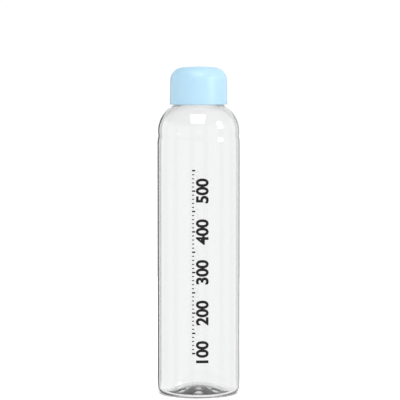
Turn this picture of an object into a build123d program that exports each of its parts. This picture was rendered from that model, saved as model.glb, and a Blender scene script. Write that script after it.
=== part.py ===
from build123d import *
import math
import os

# A slim clear water bottle with a two-start screw cap.
# +Z is up, the origin is the middle of the ring that it stands on, and sizes are in millimetres.

# Bottle body and heel
BODY_RADIUS = 33.0
WALL = 1.5
BODY_TOP_Z = 200.5
HEEL_RADIUS = 5.0
HEEL_EDGE_RADIUS = 32.6
HEEL_BLEND_Z = 13.0

# Bottle base: a flat ring to stand on, and a low dome pushed up inside it, with a ring of scallops
REST_RING_INNER = 25.5
UNDERSIDE_APEX = 6.5
FLOOR_APEX = 8.2
FLOOR_EDGE = 25.8
FLOOR_EDGE_Z = 1.5
FLOOR_CORNER = 3.5
SCALLOPS = 8
SCALLOP_RING = 16.5
SCALLOP_RADIUS = 7.0
SCALLOP_DEPTH = 0.8

# Shoulder: a dome that stands in a groove at the top of the body
BODY_TOP_ROUND = 21.0
GROOVE_RADIUS = 32.2
GROOVE_Z = 206.4
GROOVE_LIP = 0.08
GROOVE_INNER_RADIUS = 30.7
GROOVE_INNER_Z = 206.35
DOME_ARC = 23.3
DOME_MAX_RADIUS = 32.5
DOME_Z = 210.5
DOME_LOWER_Z = 206.9

# Neck
NECK_RADIUS = 17.6
BORE_RADIUS = 15.7
NECK_FOOT_Z = 233.2
NECK_FOOT_FLARE = 1.0
BORE_FOOT_Z = 232.6
BORE_FOOT_FLARE = 1.2
RIM_Z = 248.0
RIM_ROUND = 0.5

# Two-start right-hand thread
STARTS = 2
THREAD_LEAD = 8.0
THREAD_CREST = 18.9
THREAD_ROOT_WIDTH = 2.2
THREAD_CREST_WIDTH = 1.0
NECK_THREAD_Z = 238.0
NECK_THREAD_TURNS = 0.875
THREAD_SINK = 0.5

# Seal ring, clamped between the rim and the roof of the cap's insert
SEAL_THICKNESS = 1.7
SEAL_INNER = 14.6
SEAL_OUTER = 18.7
SEAL_ROUND = 0.3

# Cap insert: the threaded inner cap
INSERT_BOTTOM_Z = 233.3
INSERT_RADIUS = 20.6
INSERT_BORE = 19.25
INSERT_ROOF = 1.8
INSERT_CHAMFER = 1.0
INSERT_THREAD_CREST = 18.0
INSERT_THREAD_ROOT_WIDTH = 1.7
INSERT_THREAD_CREST_WIDTH = 0.9
INSERT_THREAD_TURNS = 0.75
SPIGOT_OUTER = 14.2
SPIGOT_INNER = 13.0
SPIGOT_DEPTH = 2.8
INSERT_RIBS = 24
RIB_WIDTH = 1.2

# Cap shell: the coloured outer cap
CAP_BOTTOM_Z = 231.7
CAP_TOP_Z = 262.0
CAP_SKIRT_RADIUS = 23.0
CAP_SKIRT_INNER = 21.0
CAP_SHOULDER_RADIUS = 22.65
CAP_CORNER = 10.5
CAP_CORNER_Z = 250.9
CAP_EDGE_ROUND = 0.6

DOME_CENTRE = DOME_MAX_RADIUS - DOME_ARC
DOME_HIGH_DEGREES = 30
DOME_LOW_DEGREES = -math.degrees(math.asin((DOME_Z - DOME_LOWER_Z) / DOME_ARC))
BODY_TOP_CENTRE = BODY_RADIUS - BODY_TOP_ROUND
BODY_TOP_DEGREES = math.degrees(math.acos((GROOVE_RADIUS + GROOVE_LIP - BODY_TOP_CENTRE) / BODY_TOP_ROUND))
CAP_CORNER_CENTRE = CAP_SHOULDER_RADIUS - CAP_CORNER
INSERT_ROOF_UNDER_Z = RIM_Z + SEAL_THICKNESS
INSERT_TOP_Z = INSERT_ROOF_UNDER_Z + INSERT_ROOF
INSERT_THREAD_Z = NECK_THREAD_Z - THREAD_LEAD / STARTS / 2


def on_circle(centre_r, centre_z, radius, degrees):
    """A point of an outline's arc: 0 degrees is outwards and 90 degrees is up."""
    angle = math.radians(degrees)
    return (centre_r + radius * math.cos(angle), centre_z + radius * math.sin(angle))


def on_dome(arc, degrees):
    """A point of the dome's outer or inner arc."""
    return on_circle(DOME_CENTRE, DOME_Z, arc, degrees)


def dome_end_degrees(arc, at_radius):
    """Where a dome arc stops, as it reaches the neck's foot."""
    return math.degrees(math.acos((at_radius - DOME_CENTRE) / arc))


def bottle_outside():
    """The outer outline, from the middle of the underside up to the rim."""
    heel_centre = HEEL_EDGE_RADIUS - HEEL_RADIUS
    body_end = on_circle(BODY_TOP_CENTRE, BODY_TOP_Z, BODY_TOP_ROUND, BODY_TOP_DEGREES)
    dome_start = on_dome(DOME_ARC, DOME_LOW_DEGREES)
    dome_end = on_dome(DOME_ARC, dome_end_degrees(DOME_ARC, NECK_RADIUS + NECK_FOOT_FLARE))
    return [
        TangentArc((0, UNDERSIDE_APEX), (REST_RING_INNER, 0), tangent=(1, 0)),
        Line((REST_RING_INNER, 0), (heel_centre, 0)),
        TangentArc((heel_centre, 0), (HEEL_EDGE_RADIUS, HEEL_RADIUS), tangent=(1, 0)),
        TangentArc((BODY_RADIUS, HEEL_BLEND_Z), (HEEL_EDGE_RADIUS, HEEL_RADIUS), tangent=(0, -1)),
        Line((BODY_RADIUS, HEEL_BLEND_Z), (BODY_RADIUS, BODY_TOP_Z)),
        TangentArc((BODY_RADIUS, BODY_TOP_Z), body_end, tangent=(0, 1)),
        ThreePointArc(body_end, (GROOVE_RADIUS, GROOVE_Z), dome_start),
        ThreePointArc(dome_start, on_dome(DOME_ARC, DOME_HIGH_DEGREES), dome_end),
        TangentArc((NECK_RADIUS, NECK_FOOT_Z), dome_end, tangent=(0, -1)),
        Line((NECK_RADIUS, NECK_FOOT_Z), (NECK_RADIUS, RIM_Z - RIM_ROUND)),
        TangentArc((NECK_RADIUS, RIM_Z - RIM_ROUND), (NECK_RADIUS - RIM_ROUND, RIM_Z), tangent=(0, 1)),
        Line((NECK_RADIUS - RIM_ROUND, RIM_Z), (BORE_RADIUS, RIM_Z)),
    ]


def bottle_inside():
    """The inner outline, from the rim down to the middle of the floor."""
    inner_arc = DOME_ARC - WALL
    inner_radius = BODY_RADIUS - WALL
    corner_centre = inner_radius - FLOOR_CORNER
    body_end = on_circle(BODY_TOP_CENTRE, BODY_TOP_Z, BODY_TOP_ROUND - WALL, BODY_TOP_DEGREES)
    dome_start = on_dome(inner_arc, DOME_LOW_DEGREES)
    dome_end = on_dome(inner_arc, dome_end_degrees(inner_arc, BORE_RADIUS + BORE_FOOT_FLARE))
    corner_z = FLOOR_EDGE_Z + FLOOR_CORNER
    bore_foot = (BORE_RADIUS, BORE_FOOT_Z)
    return [
        Line((BORE_RADIUS, RIM_Z), bore_foot),
        TangentArc(bore_foot, dome_end, tangent=(0, -1)),
        ThreePointArc(dome_end, on_dome(inner_arc, DOME_HIGH_DEGREES), dome_start),
        ThreePointArc(dome_start, (GROOVE_INNER_RADIUS, GROOVE_INNER_Z), body_end),
        TangentArc((inner_radius, BODY_TOP_Z), body_end, tangent=(0, 1)),
        Line((inner_radius, BODY_TOP_Z), (inner_radius, corner_z)),
        TangentArc((inner_radius, corner_z), (corner_centre, FLOOR_EDGE_Z), tangent=(0, -1)),
        Line((corner_centre, FLOOR_EDGE_Z), (FLOOR_EDGE, FLOOR_EDGE_Z)),
        TangentArc((0, FLOOR_APEX), (FLOOR_EDGE, FLOOR_EDGE_Z), tangent=(1, 0)),
        Line((0, FLOOR_APEX), (0, UNDERSIDE_APEX)),
    ]


def turned(lines):
    """Turns a closed outline of radius and height round the axis."""
    outline = Wire([edge for line in lines for edge in line.edges()])
    return revolve(Plane.XZ * Face(outline), Axis.Z)


def thread(root, crest, root_width, crest_width, first_z, turns):
    """One thread of each start, as a ridge that winds from its root towards its crest."""
    sink = math.copysign(THREAD_SINK, root - crest)
    spine = Helix(pitch=THREAD_LEAD, height=THREAD_LEAD * turns, radius=root)
    profile = Polyline(
        (sink, -root_width / 2),
        (sink, root_width / 2),
        (0, root_width / 2),
        (crest - root, crest_width / 2),
        (crest - root, -crest_width / 2),
        (0, -root_width / 2),
        close=True,
    )
    start = Plane(origin=spine @ 0, x_dir=(1, 0, 0), z_dir=-(spine % 0))
    ridge = sweep(start * make_face(profile), path=spine, is_frenet=True)
    return [Pos(0, 0, first_z) * Rot(0, 0, 360 * k / STARTS) * ridge for k in range(STARTS)]


def make_bottle():
    """The blow-moulded bottle: body, base, shoulder and threaded neck in one piece."""
    body = turned(bottle_outside() + bottle_inside())
    slope_z = UNDERSIDE_APEX * (1 - (SCALLOP_RING / REST_RING_INNER) ** 2)
    scallop = Pos(0, 0, slope_z + SCALLOP_DEPTH - SCALLOP_RADIUS) * Sphere(SCALLOP_RADIUS)
    for location in PolarLocations(SCALLOP_RING, SCALLOPS):
        body -= location * scallop
    for ridge in thread(NECK_RADIUS, THREAD_CREST, THREAD_ROOT_WIDTH, THREAD_CREST_WIDTH,
                        NECK_THREAD_Z, NECK_THREAD_TURNS):
        body += ridge
    return body


def standing(radius, low_z, high_z):
    """A plain cylinder between two heights."""
    return Pos(0, 0, low_z) * Cylinder(radius, high_z - low_z, align=(Align.CENTER, Align.CENTER, Align.MIN))


def make_seal_ring():
    """The silicone ring that the rim presses against."""
    top_z = RIM_Z + SEAL_THICKNESS
    ring = standing(SEAL_OUTER, RIM_Z, top_z) - standing(SEAL_INNER, RIM_Z, top_z)
    return fillet(ring.edges().filter_by(GeomType.CIRCLE), SEAL_ROUND)


def make_cap_insert():
    """The threaded inner cap, with the spigot that centres the seal and ribs that grip the shell."""
    spigot_z = INSERT_ROOF_UNDER_Z - SPIGOT_DEPTH
    body = turned([Polyline(
        (0, INSERT_TOP_Z),
        (INSERT_RADIUS - INSERT_CHAMFER, INSERT_TOP_Z),
        (INSERT_RADIUS, INSERT_TOP_Z - INSERT_CHAMFER),
        (INSERT_RADIUS, INSERT_BOTTOM_Z),
        (INSERT_BORE, INSERT_BOTTOM_Z),
        (INSERT_BORE, INSERT_ROOF_UNDER_Z),
        (SPIGOT_OUTER, INSERT_ROOF_UNDER_Z),
        (SPIGOT_OUTER, spigot_z),
        (SPIGOT_INNER, spigot_z),
        (SPIGOT_INNER, INSERT_ROOF_UNDER_Z),
        (0, INSERT_ROOF_UNDER_Z),
        close=True,
    )])
    for ridge in thread(INSERT_BORE, INSERT_THREAD_CREST, INSERT_THREAD_ROOT_WIDTH,
                        INSERT_THREAD_CREST_WIDTH, INSERT_THREAD_Z, INSERT_THREAD_TURNS):
        body += ridge
    rib_top_z = INSERT_TOP_Z - INSERT_CHAMFER
    rib = Pos(INSERT_RADIUS, 0, INSERT_BOTTOM_Z) * Box(
        2 * (CAP_SKIRT_INNER - INSERT_RADIUS), RIB_WIDTH, rib_top_z - INSERT_BOTTOM_Z,
        align=(Align.CENTER, Align.CENTER, Align.MIN))
    reach = standing(CAP_SKIRT_INNER, INSERT_BOTTOM_Z, rib_top_z)
    for k in range(INSERT_RIBS):
        body += (Rot(0, 0, 360 * k / INSERT_RIBS) * rib) & reach
    return body


def make_cap_shell():
    """The outer cap: a crowned top, a soft shoulder and a nearly straight skirt."""
    # The crown is an arc centred on the axis that meets the corner arc without a kink.
    rise = CAP_TOP_Z - CAP_CORNER_Z
    crown = (CAP_CORNER_CENTRE ** 2 + rise ** 2 - CAP_CORNER ** 2) / (2 * (rise - CAP_CORNER))
    reach = CAP_CORNER / (crown - CAP_CORNER)
    crown_end = (CAP_CORNER_CENTRE * (1 + reach), CAP_CORNER_Z + (crown - rise) * reach)
    inner_corner = CAP_SKIRT_INNER - CAP_CORNER_CENTRE
    outside = [
        TangentArc((0, CAP_TOP_Z), crown_end, tangent=(1, 0)),
        TangentArc((CAP_SHOULDER_RADIUS, CAP_CORNER_Z), crown_end, tangent=(0, 1)),
        Line((CAP_SHOULDER_RADIUS, CAP_CORNER_Z), (CAP_SKIRT_RADIUS, CAP_BOTTOM_Z + CAP_EDGE_ROUND)),
        TangentArc((CAP_SKIRT_RADIUS, CAP_BOTTOM_Z + CAP_EDGE_ROUND),
                   (CAP_SKIRT_RADIUS - CAP_EDGE_ROUND, CAP_BOTTOM_Z), tangent=(0, -1)),
    ]
    inside = [
        Line((CAP_SKIRT_RADIUS - CAP_EDGE_ROUND, CAP_BOTTOM_Z), (CAP_SKIRT_INNER, CAP_BOTTOM_Z)),
        Line((CAP_SKIRT_INNER, CAP_BOTTOM_Z), (CAP_SKIRT_INNER, CAP_CORNER_Z)),
        TangentArc((CAP_SKIRT_INNER, CAP_CORNER_Z),
                   (CAP_CORNER_CENTRE, CAP_CORNER_Z + inner_corner), tangent=(0, 1)),
        Line((CAP_CORNER_CENTRE, CAP_CORNER_Z + inner_corner), (0, CAP_CORNER_Z + inner_corner)),
        Line((0, CAP_CORNER_Z + inner_corner), (0, CAP_TOP_Z)),
    ]
    return turned(outside + inside)


PARTS = {
    "bottle": make_bottle,
    "seal_ring": make_seal_ring,
    "cap_insert": make_cap_insert,
    "cap_shell": make_cap_shell,
}

os.makedirs("parts", exist_ok=True)
for name, make in PARTS.items():
    export_step(make(), f"parts/{name}.step")
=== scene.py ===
"""A slim clear water bottle with a light blue screw cap, in a bright white studio."""
import math

import bmesh
import bpy
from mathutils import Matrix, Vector


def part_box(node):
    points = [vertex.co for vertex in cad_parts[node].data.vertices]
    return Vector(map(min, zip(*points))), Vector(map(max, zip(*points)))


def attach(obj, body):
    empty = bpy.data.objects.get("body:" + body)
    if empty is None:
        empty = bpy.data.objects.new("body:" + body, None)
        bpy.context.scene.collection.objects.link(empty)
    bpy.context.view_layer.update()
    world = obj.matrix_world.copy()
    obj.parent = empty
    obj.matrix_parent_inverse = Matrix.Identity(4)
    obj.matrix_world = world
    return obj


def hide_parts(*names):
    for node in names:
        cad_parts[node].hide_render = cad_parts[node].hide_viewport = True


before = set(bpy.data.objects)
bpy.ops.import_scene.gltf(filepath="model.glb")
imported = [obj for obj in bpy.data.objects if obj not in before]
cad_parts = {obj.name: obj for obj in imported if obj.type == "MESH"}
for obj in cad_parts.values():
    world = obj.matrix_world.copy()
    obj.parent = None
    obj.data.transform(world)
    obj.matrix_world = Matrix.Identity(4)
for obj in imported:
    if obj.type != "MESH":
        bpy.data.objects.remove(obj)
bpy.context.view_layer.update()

MM = 0.001

# Driving places, read from the frame, in millimetres.
BOTTLE_LOW, BOTTLE_HIGH = [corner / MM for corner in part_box("bottle")]
CAP_LOW, CAP_HIGH = [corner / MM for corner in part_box("cap_shell")]
BODY_RADIUS = BOTTLE_HIGH.x
RIM_Z = BOTTLE_HIGH.z
CAP_SKIRT_RADIUS = CAP_HIGH.x
CAP_BOTTOM_Z = CAP_LOW.z
CAP_TOP_Z = CAP_HIGH.z

# Bottle wall, heel and base, in millimetres.
WALL = 1.5
BODY_TOP_Z = 200.5
HEEL_RADIUS = 5.0
HEEL_INSET = 0.4
HEEL_EDGE_RADIUS = BODY_RADIUS - HEEL_INSET
HEEL_BLEND_Z = 13.0
REST_RING_INNER = 25.5
UNDERSIDE_APEX = 6.5
FLOOR_APEX = 8.2
FLOOR_EDGE = 25.8
FLOOR_EDGE_Z = 1.5
FLOOR_CORNER = 3.5
SCALLOPS = 8
SCALLOP_RING = 16.5
SCALLOP_RADIUS = 7.0
SCALLOP_DEPTH = 0.8
SCALLOP_SOFTNESS = 0.25
RING_MARGIN = 0.5

# Shoulder and neck, in millimetres.
BODY_TOP_ROUND = 21.0
GROOVE_RADIUS = 32.2
GROOVE_Z = 206.4
GROOVE_LIP = 0.08
GROOVE_INNER_RADIUS = 30.7
GROOVE_INNER_Z = 206.35
DOME_ARC = 23.3
DOME_INSET = 0.5
DOME_CENTRE = BODY_RADIUS - DOME_INSET - DOME_ARC
DOME_Z = 210.5
DOME_LOWER_Z = 206.9
NECK_RADIUS = 17.6
BORE_RADIUS = 15.7
NECK_FOOT_Z = 233.2
NECK_FOOT_FLARE = 1.0
BORE_FOOT_Z = 232.6
BORE_FOOT_FLARE = 1.2
RIM_ROUND = 0.5

# Two-start neck thread, in millimetres.
STARTS = 2
THREAD_LEAD = 8.0
THREAD_HEIGHT = 1.3
THREAD_ROOT_HALF = 1.1
THREAD_CREST_HALF = 0.5
THREAD_Z = 238.0
THREAD_TURNS = 0.875
THREAD_RUNOUT = 0.07

# Cap shell, in millimetres.
CAP_SKIRT_INNER = 21.0
CAP_TAPER = 0.35
CAP_SHOULDER_RADIUS = CAP_SKIRT_RADIUS - CAP_TAPER
CAP_CORNER = 10.5
CAP_CORNER_DROP = 11.1
CAP_CORNER_Z = CAP_TOP_Z - CAP_CORNER_DROP
CAP_EDGE_ROUND = 0.6
CAP_CORNER_CENTRE = CAP_SHOULDER_RADIUS - CAP_CORNER

# How finely skins are turned, and how near counts as touching, in millimetres.
COLUMNS = 256
STAGE_COLUMNS = 96
ON_AXIS = 1e-6
SLACK = 0.01


# ---------------------------------------------------------------- outlines

def arc(centre, radius, start, end, steps):
    """Points round an arc. 0 degrees is outwards and 90 degrees is up."""
    points = []
    for k in range(steps + 1):
        angle = math.radians(start + (end - start) * k / steps)
        points.append((centre[0] + radius * math.cos(angle), centre[1] + radius * math.sin(angle)))
    return points


def arc_through(start, middle, end, steps):
    """Points round the arc through three points, about the middle of the circle that they lie on."""
    (ax, ay), (bx, by), (cx, cy) = start, middle, end
    a_square = ax * ax + ay * ay
    b_square = bx * bx + by * by
    c_square = cx * cx + cy * cy
    spread_out = 2 * (ax * (by - cy) + bx * (cy - ay) + cx * (ay - by))
    centre = ((a_square * (by - cy) + b_square * (cy - ay) + c_square * (ay - by)) / spread_out,
              (a_square * (cx - bx) + b_square * (ax - cx) + c_square * (bx - ax)) / spread_out)
    radius = math.dist(centre, start)

    def degrees(point):
        return math.degrees(math.atan2(point[1] - centre[1], point[0] - centre[0]))

    first, mid, last = degrees(start), degrees(middle), degrees(end)
    turn = (last - first) % 360
    if (mid - first) % 360 > turn:
        turn -= 360
    return arc(centre, radius, first, first + turn, steps)


def leaving(start, direction, end, steps):
    """Points round the arc that leaves start along direction and reaches end."""
    dx, dy = end[0] - start[0], end[1] - start[1]
    ux, uy = direction
    across = dx * -uy + dy * ux
    if abs(across) < 1e-9:
        return straight(start, end, steps)
    radius = (dx * dx + dy * dy) / (2 * across)
    centre = (start[0] - uy * radius, start[1] + ux * radius)
    first = math.degrees(math.atan2(start[1] - centre[1], start[0] - centre[0]))
    last = math.degrees(math.atan2(end[1] - centre[1], end[0] - centre[0]))
    turn = (last - first + 180) % 360 - 180
    return arc(centre, abs(radius), first, first + turn, steps)


def straight(start, end, steps):
    """Points along a line."""
    return [(start[0] + (end[0] - start[0]) * k / steps, start[1] + (end[1] - start[1]) * k / steps)
            for k in range(steps + 1)]


def joined(*stretches):
    """One outline from stretches that meet end to end."""
    outline = list(stretches[0])
    for stretch in stretches[1:]:
        outline.extend(stretch[1:])
    return outline


def bottle_outline():
    """From the middle of the underside, up the outside, over the rim and down inside to the floor."""
    low = -math.degrees(math.asin((DOME_Z - DOME_LOWER_Z) / DOME_ARC))
    top_centre = BODY_RADIUS - BODY_TOP_ROUND
    top_degrees = math.degrees(math.acos((GROOVE_RADIUS + GROOVE_LIP - top_centre) / BODY_TOP_ROUND))
    high = math.degrees(math.acos((NECK_RADIUS + NECK_FOOT_FLARE - DOME_CENTRE) / DOME_ARC))
    heel_centre = HEEL_EDGE_RADIUS - HEEL_RADIUS
    under = leaving((0, UNDERSIDE_APEX), (1, 0), (REST_RING_INNER, 0), steps=64)
    heel = arc((heel_centre, HEEL_RADIUS), HEEL_RADIUS, -90, 0, steps=16)
    blend = leaving((BODY_RADIUS, HEEL_BLEND_Z), (0, -1), (HEEL_EDGE_RADIUS, HEEL_RADIUS), steps=8)[::-1]
    body_top = arc((top_centre, BODY_TOP_Z), BODY_TOP_ROUND, 0, top_degrees, steps=14)
    dome = arc((DOME_CENTRE, DOME_Z), DOME_ARC, low, high, steps=56)
    groove = arc_through(body_top[-1], (GROOVE_RADIUS, GROOVE_Z), dome[0], steps=10)
    neck_foot = leaving((NECK_RADIUS, NECK_FOOT_Z), (0, -1), dome[-1], steps=8)[::-1]
    outer_rim = arc((NECK_RADIUS - RIM_ROUND, RIM_Z - RIM_ROUND), RIM_ROUND, 0, 90, steps=5)
    inner_rim = arc((BORE_RADIUS + RIM_ROUND, RIM_Z - RIM_ROUND), RIM_ROUND, 90, 180, steps=5)

    inner_arc = DOME_ARC - WALL
    inner_high = math.degrees(math.acos((BORE_RADIUS + BORE_FOOT_FLARE - DOME_CENTRE) / inner_arc))
    inner_dome = arc((DOME_CENTRE, DOME_Z), inner_arc, inner_high, low, steps=56)
    inner_top = arc((top_centre, BODY_TOP_Z), BODY_TOP_ROUND - WALL, top_degrees, 0, steps=12)
    inner_groove = arc_through(inner_dome[-1], (GROOVE_INNER_RADIUS, GROOVE_INNER_Z), inner_top[0], steps=10)
    inner_radius = BODY_RADIUS - WALL
    corner_centre = inner_radius - FLOOR_CORNER
    corner = arc((corner_centre, FLOOR_EDGE_Z + FLOOR_CORNER), FLOOR_CORNER, 0, -90, steps=16)
    floor = leaving((0, FLOOR_APEX), (1, 0), (FLOOR_EDGE, FLOOR_EDGE_Z), steps=64)[::-1]
    return joined(
        under,
        straight(under[-1], heel[0], steps=3),
        heel,
        blend,
        straight(blend[-1], body_top[0], steps=48),
        body_top,
        groove,
        dome,
        neck_foot,
        straight(neck_foot[-1], outer_rim[0], steps=64),
        outer_rim,
        straight(outer_rim[-1], inner_rim[0], steps=2),
        inner_rim,
        straight(inner_rim[-1], (BORE_RADIUS, BORE_FOOT_Z), steps=10),
        leaving((BORE_RADIUS, BORE_FOOT_Z), (0, -1), inner_dome[0], steps=8),
        inner_dome,
        inner_groove,
        inner_top,
        straight(inner_top[-1], corner[0], steps=48),
        corner,
        straight(corner[-1], floor[0], steps=3),
        floor,
    )


def cap_outline():
    """From the middle of the cap's top, down the outside, round the lower edge and up inside."""
    rise = CAP_TOP_Z - CAP_CORNER_Z
    crown = (CAP_CORNER_CENTRE ** 2 + rise ** 2 - CAP_CORNER ** 2) / (2 * (rise - CAP_CORNER))
    reach = CAP_CORNER / (crown - CAP_CORNER)
    crown_end = (CAP_CORNER_CENTRE * (1 + reach), CAP_CORNER_Z + (crown - rise) * reach)
    corner = leaving((CAP_SHOULDER_RADIUS, CAP_CORNER_Z), (0, 1), crown_end, steps=28)[::-1]
    edge_z = CAP_BOTTOM_Z + CAP_EDGE_ROUND
    edge = arc((CAP_SKIRT_RADIUS - CAP_EDGE_ROUND, edge_z), CAP_EDGE_ROUND, 0, -90, steps=8)
    inner_edge = arc((CAP_SKIRT_INNER + CAP_EDGE_ROUND, edge_z), CAP_EDGE_ROUND, -90, -180, steps=8)
    inner_corner = CAP_SKIRT_INNER - CAP_CORNER_CENTRE
    inner_round = arc((CAP_CORNER_CENTRE, CAP_CORNER_Z), inner_corner, 0, 90, steps=16)
    return joined(
        leaving((0, CAP_TOP_Z), (1, 0), crown_end, steps=16),
        corner,
        straight(corner[-1], edge[0], steps=12),
        edge,
        straight(edge[-1], inner_edge[0], steps=2),
        inner_edge,
        straight(inner_edge[-1], inner_round[0], steps=8),
        inner_round,
        straight(inner_round[-1], (0, CAP_CORNER_Z + inner_corner), steps=6),
    )


# ---------------------------------------------------------------- surfaces

def smooth(value):
    """An S-shaped step from 0 to 1."""
    t = min(max(value, 0.0), 1.0)
    return t * t * (3 - 2 * t)


def thread_bump(z, turn):
    """How far the neck thread stands out at a height and a part of a turn."""
    height = 0.0
    for start in range(STARTS):
        along = (turn - start / STARTS) % 1.0
        off = abs(z - THREAD_Z - THREAD_LEAD * along)
        ridge = smooth((THREAD_ROOT_HALF - off) / (THREAD_ROOT_HALF - THREAD_CREST_HALF))
        ends = smooth(along / THREAD_RUNOUT) * smooth((THREAD_TURNS - along) / THREAD_RUNOUT)
        height = max(height, THREAD_HEIGHT * ridge * ends)
    return height


def scallop_rise(radius, z, turn):
    """How far a scallop lifts the underside, with a soft edge."""
    nearest = (turn * SCALLOPS + 0.5) % 1.0 - 0.5
    angle = nearest * math.tau / SCALLOPS
    off_x = radius * math.cos(angle) - SCALLOP_RING
    off_y = radius * math.sin(angle)
    off = math.hypot(off_x, off_y)
    if off >= SCALLOP_RADIUS:
        return 0.0
    ring_z = UNDERSIDE_APEX * (1 - (SCALLOP_RING / REST_RING_INNER) ** 2)
    ball = ring_z + SCALLOP_DEPTH - SCALLOP_RADIUS + math.sqrt(SCALLOP_RADIUS ** 2 - off ** 2)
    above = ball - z
    rounded = math.sqrt(above * above + SCALLOP_SOFTNESS ** 2)
    return 0.5 * (above + rounded) - 0.5 * SCALLOP_SOFTNESS * math.exp(above)


def bottle_point(index, outline, turn, outer_count):
    """A point of the bottle's skin, with its thread and scallops."""
    radius, z = outline[index]
    outside = index < outer_count
    if outside and NECK_FOOT_Z < z < RIM_Z - RIM_ROUND and radius < NECK_RADIUS + SLACK:
        radius += thread_bump(z, turn)
    if outside and radius < REST_RING_INNER - RING_MARGIN and z <= UNDERSIDE_APEX:
        z += max(0.0, scallop_rise(radius, z, turn))
    return radius, z


def revolve(name, outline, shaped=None, columns=COLUMNS):
    """A closed skin turned round Z from an outline that starts and ends on the axis.

    Where it isn't round, shaped gives the radius and height of an outline point at a part of a turn.
    """
    vertices, rings = [], []
    for index, (radius, z) in enumerate(outline):
        ring = []
        count = 1 if radius < ON_AXIS else columns
        for k in range(count):
            turn = k / columns
            r, height = shaped(index, turn) if shaped else (radius, z)
            angle = turn * math.tau
            ring.append(len(vertices))
            vertices.append((r * math.cos(angle) * MM, r * math.sin(angle) * MM, height * MM))
        rings.append(ring)
    faces = []
    for lower, upper in zip(rings, rings[1:]):
        for k in range(columns):
            after = (k + 1) % columns
            if len(lower) == 1:
                faces.append((lower[0], upper[after], upper[k]))
            elif len(upper) == 1:
                faces.append((lower[k], lower[after], upper[0]))
            else:
                faces.append((lower[k], lower[after], upper[after], upper[k]))
    return add_mesh(name, vertices, faces)


def add_mesh(name, vertices, faces):
    """A smooth-shaded mesh object with its normals turned outwards."""
    mesh = bpy.data.meshes.new(name)
    mesh.from_pydata(vertices, [], faces)
    piece = bpy.data.objects.new(name, mesh)
    bpy.context.scene.collection.objects.link(piece)
    shape = bmesh.new()
    shape.from_mesh(mesh)
    bmesh.ops.recalc_face_normals(shape, faces=shape.faces)
    shape.to_mesh(mesh)
    shape.free()
    mesh.shade_smooth()
    return piece


# ---------------------------------------------------------------- fill scale

# The ink film with its ticks and digits, in millimetres. Its levels are in millilitres, each of which
# is 1000 cubic millimetres and rises by SCALE_RISE in the straight body.
SCALE_LIFT = 0.02
SCALE_FILM = 0.05
SCALE_CENTRE_X = 1.2
SCALE_STEP = 10
SCALE_FIRST = 100
SCALE_LAST = 550
SCALE_CUBIC_MM = 1000
SCALE_RISE = SCALE_CUBIC_MM / (math.pi * (BODY_RADIUS - WALL) ** 2)
SCALE_ZERO_Z = 4.0
DIGIT_HEIGHT = 9.2
DIGIT_SHARE = 0.7
DIGIT_WEIGHT = 0.45
DIGIT_FOOT = 6.2
TICK_LEFT = -6.4
TICK_LENGTHS = {"small": 1.7, "half": 2.6, "full": 2.6}
TICK_HEIGHTS = {"small": 0.8, "half": 1.2, "full": 1.2}
SLICE = 0.8
SLICES_EACH_WAY = 10
WELD = 1e-5


def flat_bar(shape, left, right, low, high):
    """A closed flat bar of the ink film, before it is bent round the body."""
    corners = [(left, low), (right, low), (right, high), (left, high)]
    back = [shape.verts.new((x, y, 0)) for x, y in corners]
    front = [shape.verts.new((x, y, SCALE_FILM)) for x, y in corners]
    shape.faces.new(back[::-1])
    shape.faces.new(front)
    for k in range(4):
        after = (k + 1) % 4
        shape.faces.new((back[k], back[after], front[after], front[k]))


def flat_number(shape, words, middle_z):
    """A printed number that reads upwards, before it is bent round the body."""
    curve = bpy.data.curves.new("number", "FONT")
    curve.body = words
    curve.size = DIGIT_HEIGHT / DIGIT_SHARE
    curve.align_x = "CENTER"
    curve.offset = DIGIT_WEIGHT
    curve.extrude = SCALE_FILM / 2
    letter = bpy.data.objects.new("number", curve)
    bpy.context.scene.collection.objects.link(letter)
    bpy.context.view_layer.update()
    evaluated = letter.evaluated_get(bpy.context.evaluated_depsgraph_get())
    mesh = bpy.data.meshes.new_from_object(evaluated)
    for vertex in mesh.vertices:
        along, above, lift = vertex.co
        vertex.co = Vector((DIGIT_FOOT - above, middle_z + along, lift + SCALE_FILM / 2))
    shape.from_mesh(mesh)
    bpy.data.objects.remove(letter)
    bpy.data.curves.remove(curve)
    bpy.data.meshes.remove(mesh)


def make_fill_scale():
    """A printed scale of tick marks and numbers, bent round the front of the body."""
    shape = bmesh.new()
    for level in range(SCALE_FIRST, SCALE_LAST + 1, SCALE_STEP):
        z = SCALE_ZERO_Z + level * SCALE_RISE
        kind = "full" if level % 100 == 0 else "half" if level % 50 == 0 else "small"
        half = TICK_HEIGHTS[kind] / 2
        flat_bar(shape, TICK_LEFT, TICK_LEFT + TICK_LENGTHS[kind], z - half, z + half)
        if kind == "full":
            flat_number(shape, str(level), z)
    bmesh.ops.remove_doubles(shape, verts=shape.verts, dist=WELD)
    for k in range(-SLICES_EACH_WAY, SLICES_EACH_WAY + 1):
        bmesh.ops.bisect_plane(shape, geom=shape.verts[:] + shape.edges[:] + shape.faces[:],
                               plane_co=(k * SLICE, 0, 0), plane_no=(1, 0, 0), dist=WELD)
    for vertex in shape.verts:
        x, y, lift = vertex.co
        radius = BODY_RADIUS + SCALE_LIFT + lift
        angle = (x + SCALE_CENTRE_X) / BODY_RADIUS
        vertex.co = Vector((radius * math.sin(angle), -radius * math.cos(angle), y)) * MM
    bmesh.ops.recalc_face_normals(shape, faces=shape.faces)
    mesh = bpy.data.meshes.new("fill_scale")
    shape.to_mesh(mesh)
    shape.free()
    piece = bpy.data.objects.new("fill_scale", mesh)
    bpy.context.scene.collection.objects.link(piece)
    return piece


# ---------------------------------------------------------------- materials

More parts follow.
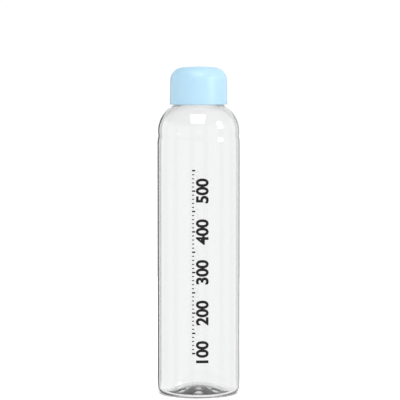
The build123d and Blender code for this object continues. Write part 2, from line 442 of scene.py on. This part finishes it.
def new_material(name, **sockets):
    """A material with one Principled shader and these constants on its own sockets."""
    material = bpy.data.materials.new(name)
    material.use_nodes = True
    tree = material.node_tree
    shader = tree.nodes["Principled BSDF"]
    for socket, value in sockets.items():
        shader.inputs[socket.replace("_", " ")].default_value = value
    return material, tree, shader


def math_node(tree, operation, *values):
    """One arithmetic node, fed by sockets or numbers."""
    node = tree.nodes.new("ShaderNodeMath")
    node.operation = operation
    for k, value in enumerate(values):
        if isinstance(value, (int, float)):
            node.inputs[k].default_value = value
        else:
            tree.links.new(value, node.inputs[k])
    return node.outputs[0]


def ramp(tree, value, start, end):
    """A smooth step from 0 at start to 1 at end. Start may be above end."""
    node = tree.nodes.new("ShaderNodeMapRange")
    node.interpolation_type = "SMOOTHSTEP"
    low, high = min(start, end), max(start, end)
    node.inputs["From Min"].default_value = low
    node.inputs["From Max"].default_value = high
    node.inputs["To Min"].default_value = 0.0 if start < end else 1.0
    node.inputs["To Max"].default_value = 1.0 if start < end else 0.0
    tree.links.new(value, node.inputs["Value"])
    return node.outputs["Result"]


def blended(tree, share, low, high):
    """A value that runs from low to high as share runs from 0 to 1."""
    reach = math_node(tree, "SUBTRACT", high, low)
    return math_node(tree, "ADD", low, math_node(tree, "MULTIPLY", share, reach))


def split_place(tree, kind):
    """The X, Y and Z of one kind of texture coordinate."""
    place = tree.nodes.new("ShaderNodeTexCoord")
    split = tree.nodes.new("ShaderNodeSeparateXYZ")
    tree.links.new(place.outputs[kind], split.inputs[0])
    return split.outputs


def distance_out(tree):
    """How far a point is from the piece's own middle, in metres."""
    place = tree.nodes.new("ShaderNodeTexCoord")
    reach = tree.nodes.new("ShaderNodeVectorMath")
    reach.operation = "LENGTH"
    tree.links.new(place.outputs["Object"], reach.inputs[0])
    return reach.outputs["Value"]


def noise(tree, scale, detail):
    """Noise laid out in the piece's own frame, with its scale in features per metre."""
    place = tree.nodes.new("ShaderNodeTexCoord")
    texture = tree.nodes.new("ShaderNodeTexNoise")
    texture.inputs["Scale"].default_value = scale
    texture.inputs["Detail"].default_value = detail
    tree.links.new(place.outputs["Object"], texture.inputs["Vector"])
    return texture.outputs["Fac"]


NOISE_LOW = 0.3
NOISE_HIGH = 0.7


def spread(tree, pattern, low, high):
    """Stretches a noise pattern, most of which lies in its middle range, to run between two values."""
    node = tree.nodes.new("ShaderNodeMapRange")
    node.inputs["From Min"].default_value = NOISE_LOW
    node.inputs["From Max"].default_value = NOISE_HIGH
    node.inputs["To Min"].default_value = low
    node.inputs["To Max"].default_value = high
    tree.links.new(pattern, node.inputs["Value"])
    return node.outputs["Result"]


def tinted(tree, shader, pattern, tones):
    """A colour that drifts between two close tones along a noise pattern."""
    dark, light = tones
    mix = tree.nodes.new("ShaderNodeMix")
    mix.data_type = "RGBA"
    # Inputs 6 and 7 and output 2 are the colour sockets of this node.
    mix.inputs[6].default_value = (*dark, 1)
    mix.inputs[7].default_value = (*light, 1)
    tree.links.new(spread(tree, pattern, 0.0, 1.0), mix.inputs[0])
    tree.links.new(mix.outputs[2], shader.inputs["Base Color"])


def uneven(tree, shader, pattern, low, high):
    """A roughness that drifts between two values along a noise pattern."""
    tree.links.new(spread(tree, pattern, low, high), shader.inputs["Roughness"])


def grain(tree, shader, pattern, height, strength):
    """A bump of this height in metres."""
    bump = tree.nodes.new("ShaderNodeBump")
    bump.inputs["Distance"].default_value = height
    bump.inputs["Strength"].default_value = strength
    tree.links.new(pattern, bump.inputs["Height"])
    tree.links.new(bump.outputs["Normal"], shader.inputs["Normal"])


# Colours: one for what is the same all over, and two close tones for what drifts a little.
WHITE = (1, 1, 1, 1)
BLACK = (0, 0, 0, 1)
CLEAR_TINT = (0.96, 0.962, 0.963, 1)
CLEAR_ABSORBING = (0.5, 0.51, 0.51, 1)
CAP_TONES = ((0.38, 0.59, 0.73), (0.395, 0.605, 0.745))
INSERT_TONES = ((0.77, 0.8, 0.81), (0.8, 0.825, 0.835))
SILICONE_TONES = ((0.7, 0.72, 0.73), (0.74, 0.76, 0.765))
INK_TONES = ((0.004, 0.004, 0.005), (0.012, 0.012, 0.013))
FLOOR_TONES = ((0.86, 0.86, 0.86), (0.865, 0.865, 0.865))

# The clear plastic: how fast it darkens per metre, its haze, and the rougher band under the cap, in metres.
CLEAR_DENSITY = 40.0
CLEAR_HAZE = 0.012
FROST_LOW_Z = 0.2285
FROST_HIGH_Z = 0.2315
NECK_FROST = 0.1

# The studio floor's own light near the bottle and further out, and where it changes, in metres.
FLOOR_GLOW = 0.25
FLOOR_EDGE_GLOW = 0.6
FLOOR_GLOW_NEAR = 0.05
FLOOR_GLOW_FAR = 0.35


def clear_plastic():
    """Clear glossy plastic with a faint haze of handling marks, and a little rougher under the cap."""
    material, tree, shader = new_material(
        "clear_plastic", Base_Color=CLEAR_TINT, IOR=1.54, Transmission_Weight=1.0)
    absorb = tree.nodes.new("ShaderNodeVolumeAbsorption")
    absorb.inputs["Color"].default_value = CLEAR_ABSORBING
    absorb.inputs["Density"].default_value = CLEAR_DENSITY
    tree.links.new(absorb.outputs["Volume"], tree.nodes["Material Output"].inputs["Volume"])
    height = split_place(tree, "Object")["Z"]
    frost = math_node(tree, "MULTIPLY", ramp(tree, height, FROST_LOW_Z, FROST_HIGH_Z), NECK_FROST)
    haze = spread(tree, noise(tree, scale=90, detail=4), 0.0, CLEAR_HAZE)
    tree.links.new(math_node(tree, "ADD", haze, frost), shader.inputs["Roughness"])
    return material


def cap_plastic():
    """Light blue satin plastic with a fine spark-eroded grain."""
    material, tree, shader = new_material(
        "cap_plastic", IOR=1.5, Subsurface_Weight=0.12, Subsurface_Scale=0.003,
        Subsurface_Radius=(0.6, 0.9, 1.0))
    tinted(tree, shader, noise(tree, scale=60, detail=3), CAP_TONES)
    uneven(tree, shader, noise(tree, scale=250, detail=3), low=0.3, high=0.38)
    grain(tree, shader, noise(tree, scale=2200, detail=2), height=0.00002, strength=0.35)
    return material


def insert_plastic():
    """White satin plastic of the inner cap."""
    material, tree, shader = new_material("insert_plastic", IOR=1.5)
    tinted(tree, shader, noise(tree, scale=80, detail=3), INSERT_TONES)
    uneven(tree, shader, noise(tree, scale=300, detail=3), low=0.38, high=0.48)
    grain(tree, shader, noise(tree, scale=1800, detail=2), height=0.00002, strength=0.3)
    return material


def silicone():
    """Milky silicone."""
    material, tree, shader = new_material(
        "silicone", IOR=1.42, Subsurface_Weight=0.4, Subsurface_Scale=0.002)
    tinted(tree, shader, noise(tree, scale=120, detail=2), SILICONE_TONES)
    uneven(tree, shader, noise(tree, scale=500, detail=2), low=0.5, high=0.6)
    return material


def ink():
    """Black screen-printing ink, slightly uneven."""
    material, tree, shader = new_material("ink", IOR=1.5, Specular_IOR_Level=0.2)
    tinted(tree, shader, noise(tree, scale=700, detail=4), INK_TONES)
    uneven(tree, shader, noise(tree, scale=900, detail=3), low=0.35, high=0.5)
    grain(tree, shader, noise(tree, scale=3000, detail=2), height=0.00001, strength=0.4)
    return material


def floor_paint():
    """White studio floor, lit a little from inside like a light table."""
    material, tree, shader = new_material(
        "floor", IOR=1.45, Emission_Color=WHITE, Roughness=0.9, Specular_IOR_Level=0.0)
    outwards = ramp(tree, distance_out(tree), FLOOR_GLOW_NEAR, FLOOR_GLOW_FAR)
    tree.links.new(blended(tree, outwards, FLOOR_GLOW, FLOOR_EDGE_GLOW), shader.inputs["Emission Strength"])
    tinted(tree, shader, noise(tree, scale=20, detail=3), FLOOR_TONES)
    return material


# ---------------------------------------------------------------- pieces

def dress(piece, material, body, slot_name, *nodes):
    """Gives a piece its material and its body, and hides the CAD nodes that it stands for; slot_name is not
    used.
    """
    piece.data.materials.clear()
    piece.data.materials.append(material)
    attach(piece, body)
    if nodes:
        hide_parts(*nodes)


def make_bottle():
    """The clear bottle: one closed skin with its wall thickness, thread and base."""
    outline = bottle_outline()
    outer_count = max(k for k, point in enumerate(outline) if point[1] > RIM_Z - SLACK)

    def shaped(index, turn):
        return bottle_point(index, outline, turn, outer_count)

    return revolve("bottle_skin", outline, shaped)


def make_cap():
    """The cap's outer shell."""
    return revolve("cap_cover", cap_outline())


# ---------------------------------------------------------------- stage

# Painted shade under the base, a dark glowing dome: its light in the middle, at the rim and, as painted
# glints, at each scallop, and its reach.
SHADE_MIDDLE = 0.09
SHADE_RIM = 0.012
SHADE_GLINT = 0.8
SHADE_FADE_START = 0.004
SHADE_FADE_END = 0.015
SHADE_GLINT_HALF = 8.5 * MM
PETAL_EDGE = -0.1
PETAL_HEART = 0.95

# Where the hidden dome and the hidden band stand, in millimetres.
SHADE_GAP = 0.4
SHADE_RIM_Z = 0.2
SHADE_FOOT_Z = 0.1
CONTACT_HIGH_Z = 6.0
CONTACT_LOW_Z = 0.2
CONTACT_GREY = (0.3, 0.3, 0.3, 1)

# The studio floor, in metres.
STAGE_RADIUS = 0.9
STAGE_RINGS = 12


def shade_paint():
    """Painted shade, nearly black, with a little more light in the middle and painted glints, the most
    light, at each scallop.
    """
    material, tree, shader = new_material(
        "shade", Base_Color=BLACK, Specular_IOR_Level=0.0, Emission_Color=WHITE)
    x, y, _ = split_place(tree, "Object")
    reach = distance_out(tree)
    outwards = ramp(tree, reach, SHADE_FADE_START, SHADE_FADE_END)
    tone = blended(tree, outwards, SHADE_MIDDLE, SHADE_RIM)
    # Painted glints: light at each scallop, on a ring round the middle.
    around = math_node(tree, "MULTIPLY", math_node(tree, "ARCTAN2", y, x), float(SCALLOPS))
    petal = ramp(tree, math_node(tree, "COSINE", around), PETAL_EDGE, PETAL_HEART)
    off_ring = math_node(tree, "ABSOLUTE", math_node(tree, "SUBTRACT", reach, SCALLOP_RING * MM))
    near_ring = ramp(tree, off_ring, SHADE_GLINT_HALF, SHADE_GLINT_HALF / 4)
    glint = math_node(tree, "MULTIPLY", petal, near_ring)
    # The dome glows with this painted shade and these painted glints; it is no lamp.
    tree.links.new(blended(tree, glint, tone, SHADE_GLINT), shader.inputs["Emission Strength"])
    return material


def make_shade():
    """A dark dome of painted shade for the darkness under the pushed-up base, seen only through the plastic.
    """
    rim = (REST_RING_INNER - SHADE_GAP, SHADE_RIM_Z)
    dome = leaving((0, UNDERSIDE_APEX - SHADE_GAP), (1, 0), rim, steps=24)
    outline = joined(dome, straight(rim, (0, SHADE_FOOT_Z), steps=2))
    shade = revolve("shade", outline, columns=STAGE_COLUMNS)
    shade.data.materials.append(shade_paint())
    shade.visible_camera = False
    shade.visible_diffuse = False
    shade.visible_glossy = False
    shade.visible_shadow = False


def make_contact_shadow():
    """A band inside the heel that only shades the floor, as the clear bottle itself casts no shadow."""
    radius = HEEL_EDGE_RADIUS - WALL
    outline = [(0, CONTACT_HIGH_Z), (radius, CONTACT_HIGH_Z), (radius, CONTACT_LOW_Z), (0, CONTACT_LOW_Z)]
    band = revolve("contact_shadow", outline, columns=STAGE_COLUMNS)
    band.data.materials.append(new_material("unseen", Base_Color=CONTACT_GREY)[0])
    band.visible_camera = False
    band.visible_glossy = False
    band.visible_transmission = False


def make_floor():
    """A round white floor that the plastic neither shows nor mirrors."""
    vertices = [(0, 0, 0)]
    faces = []
    for ring in range(1, STAGE_RINGS + 1):
        reach = STAGE_RADIUS * ring / STAGE_RINGS
        for k in range(STAGE_COLUMNS):
            angle = math.tau * k / STAGE_COLUMNS
            vertices.append((reach * math.cos(angle), reach * math.sin(angle), 0))
    for k in range(STAGE_COLUMNS):
        after = (k + 1) % STAGE_COLUMNS
        faces.append((0, 1 + k, 1 + after))
        for ring in range(STAGE_RINGS - 1):
            inner = 1 + ring * STAGE_COLUMNS
            outer = inner + STAGE_COLUMNS
            faces.append((inner + k, outer + k, outer + after, inner + after))
    floor = add_mesh("floor", vertices, faces)
    floor.data.materials.append(floor_paint())
    floor.visible_transmission = False
    floor.visible_glossy = False


# ---------------------------------------------------------------- light and camera

# Black flags round the white studio: (middle, half width, darkness), in degrees to the left of +Y.
FLAGS = [
    (20, 7, 0.9),
    (-20, 6, 0.58),
    (70, 6, 0.2),
    (-70, 6, 0.2),
    (110, 6, 0.2),
    (-110, 6, 0.2),
    (160, 6, 0.2),
    (-160, 6, 0.2),
]

# How softly the flags end at their sides, top and foot, in degrees.
FLAG_SOFT = 4.5
FLAG_EDGE = 1.0
FLAG_TOP = 9.0
FLAG_TOP_FADE = 8.0
FLAG_FOOT_START = -60.0
FLAG_FOOT_FULL = -30.0

# The studio's light at the horizon and overhead, with the heights in degrees between which it changes.
HORIZON_LIGHT = 1.04
SKY_LEFT_LIGHT = 0.3
SKY_RIGHT_LIGHT = 0.75
SKY_SIDE = 0.8
SKY_START = 12
SKY_FULL = 32

# The places that the lamps face, in metres.
BODY_AIM = Vector((0, 0, 0.16))
BASE_AIM = Vector((0, 0, 0))
CAP_AIM = Vector((0, 0, 0.245))


def in_degrees(tree, angle):
    """An angle in degrees from one in radians."""
    return math_node(tree, "MULTIPLY", angle, 180 / math.pi)


def make_world():
    """A white studio: bright at the horizon, darker above, with black flags that edge the plastic."""
    world = bpy.data.worlds.new("studio")
    bpy.context.scene.world = world
    world.use_nodes = True
    tree = world.node_tree
    x, y, z = split_place(tree, "Generated")
    left = in_degrees(tree, math_node(tree, "ARCTAN2", math_node(tree, "MULTIPLY", x, -1.0), y))
    height = in_degrees(tree, math_node(tree, "ARCSINE", z))
    sky = blended(tree, ramp(tree, x, -SKY_SIDE, SKY_SIDE), SKY_LEFT_LIGHT, SKY_RIGHT_LIGHT)
    light = blended(tree, ramp(tree, height, SKY_START, SKY_FULL), HORIZON_LIGHT, sky)
    below_top = ramp(tree, height, FLAG_TOP + FLAG_TOP_FADE, FLAG_TOP)
    above_foot = ramp(tree, height, FLAG_FOOT_START, FLAG_FOOT_FULL)
    tall = math_node(tree, "MULTIPLY", below_top, above_foot)
    for middle, half, darkness in FLAGS:
        off = math_node(tree, "ABSOLUTE", math_node(tree, "SUBTRACT", left, float(middle)))
        inside = math_node(tree, "MULTIPLY", ramp(tree, off, half + FLAG_SOFT, half - FLAG_EDGE), tall)
        kept = math_node(tree, "SUBTRACT", 1.0, math_node(tree, "MULTIPLY", inside, darkness))
        light = math_node(tree, "MULTIPLY", light, kept)
    background = tree.nodes["Background"]
    background.inputs["Color"].default_value = WHITE
    tree.links.new(light, background.inputs["Strength"])


def softbox(name, azimuth, elevation, distance, width, height, radiance, aim):
    """A soft lamp that faces aim. Azimuth 0 stands in front, on the camera's side, and 90 to the right."""
    turn = math.radians(azimuth)
    tilt = math.radians(elevation)
    away = Vector((math.sin(turn) * math.cos(tilt), -math.cos(turn) * math.cos(tilt), math.sin(tilt)))
    lamp = bpy.data.lights.new(name, "AREA")
    lamp.shape = "RECTANGLE"
    lamp.size, lamp.size_y = width, height
    lamp.energy = radiance * math.pi * width * height
    holder = bpy.data.objects.new(name, lamp)
    holder.location = aim + away * distance
    holder.rotation_mode = "QUATERNION"
    holder.rotation_quaternion = away.to_track_quat("Z", "Y")
    bpy.context.scene.collection.objects.link(holder)
    return holder


def make_lights(lit_by_strip):
    """A large key light, a side light, a soft lamp overhead, and a strip that shines on the cap alone."""
    softbox("key", azimuth=-3, elevation=54, distance=1.25,
            width=0.82, height=0.95, radiance=2.6, aim=BODY_AIM)
    softbox("side", azimuth=67, elevation=24, distance=1.2,
            width=0.34, height=0.5, radiance=4.5, aim=BODY_AIM)
    overhead = softbox("overhead", azimuth=0, elevation=89, distance=1.6,
                       width=1.2, height=1.2, radiance=1.6, aim=BASE_AIM)
    overhead.visible_glossy = False
    overhead.visible_transmission = False
    strip = softbox("cap strip", azimuth=52, elevation=6, distance=0.9,
                    width=0.1, height=0.5, radiance=9.0, aim=CAP_AIM)
    strip.visible_diffuse = False
    strip.light_linking.receiver_collection = lit_by_strip


# The camera: distances in metres, pitch in degrees, lens and sensor in millimetres.
CAMERA_DISTANCE = 1.6
CAMERA_ASIDE = 0.0011
CAMERA_BELOW_TOP = 0.002
CAMERA_PITCH = 3.745
CAMERA_LENS = 180.2
CAMERA_SENSOR = 36


def make_camera():
    """Level with the cap, looking slightly down, with a long lens."""
    camera = bpy.data.cameras.new("camera")
    camera.sensor_width = CAMERA_SENSOR
    camera.lens = CAMERA_LENS
    holder = bpy.data.objects.new("camera", camera)
    holder.location = (CAMERA_ASIDE, -CAMERA_DISTANCE, CAP_TOP_Z * MM - CAMERA_BELOW_TOP)
    holder.rotation_euler = (math.radians(90 - CAMERA_PITCH), 0, 0)
    bpy.context.scene.collection.objects.link(holder)
    bpy.context.scene.camera = holder


# ---------------------------------------------------------------- the whole

scene = bpy.context.scene
scene.view_settings.view_transform = "Standard"
scene.cycles.transmission_bounces = 16
scene.cycles.max_bounces = 20

lit_by_strip = bpy.data.collections.new("lit by the cap strip")

make_camera()
make_world()
make_lights(lit_by_strip)
make_floor()
make_shade()
make_contact_shadow()

bottle = make_bottle()
dress(bottle, clear_plastic(), "bottle", "clear_plastic", "bottle")
bottle.visible_shadow = False

cap = make_cap()
dress(cap, cap_plastic(), "cap", "cap_plastic", "cap_shell")
cap.visible_transmission = False
lit_by_strip.objects.link(cap)

dress(make_fill_scale(), ink(), "bottle", None)

for node, material in (("cap_insert", insert_plastic()), ("seal_ring", silicone())):
    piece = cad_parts[node]
    piece.data.materials.clear()
    piece.data.materials.append(material)
    piece.visible_transmission = False
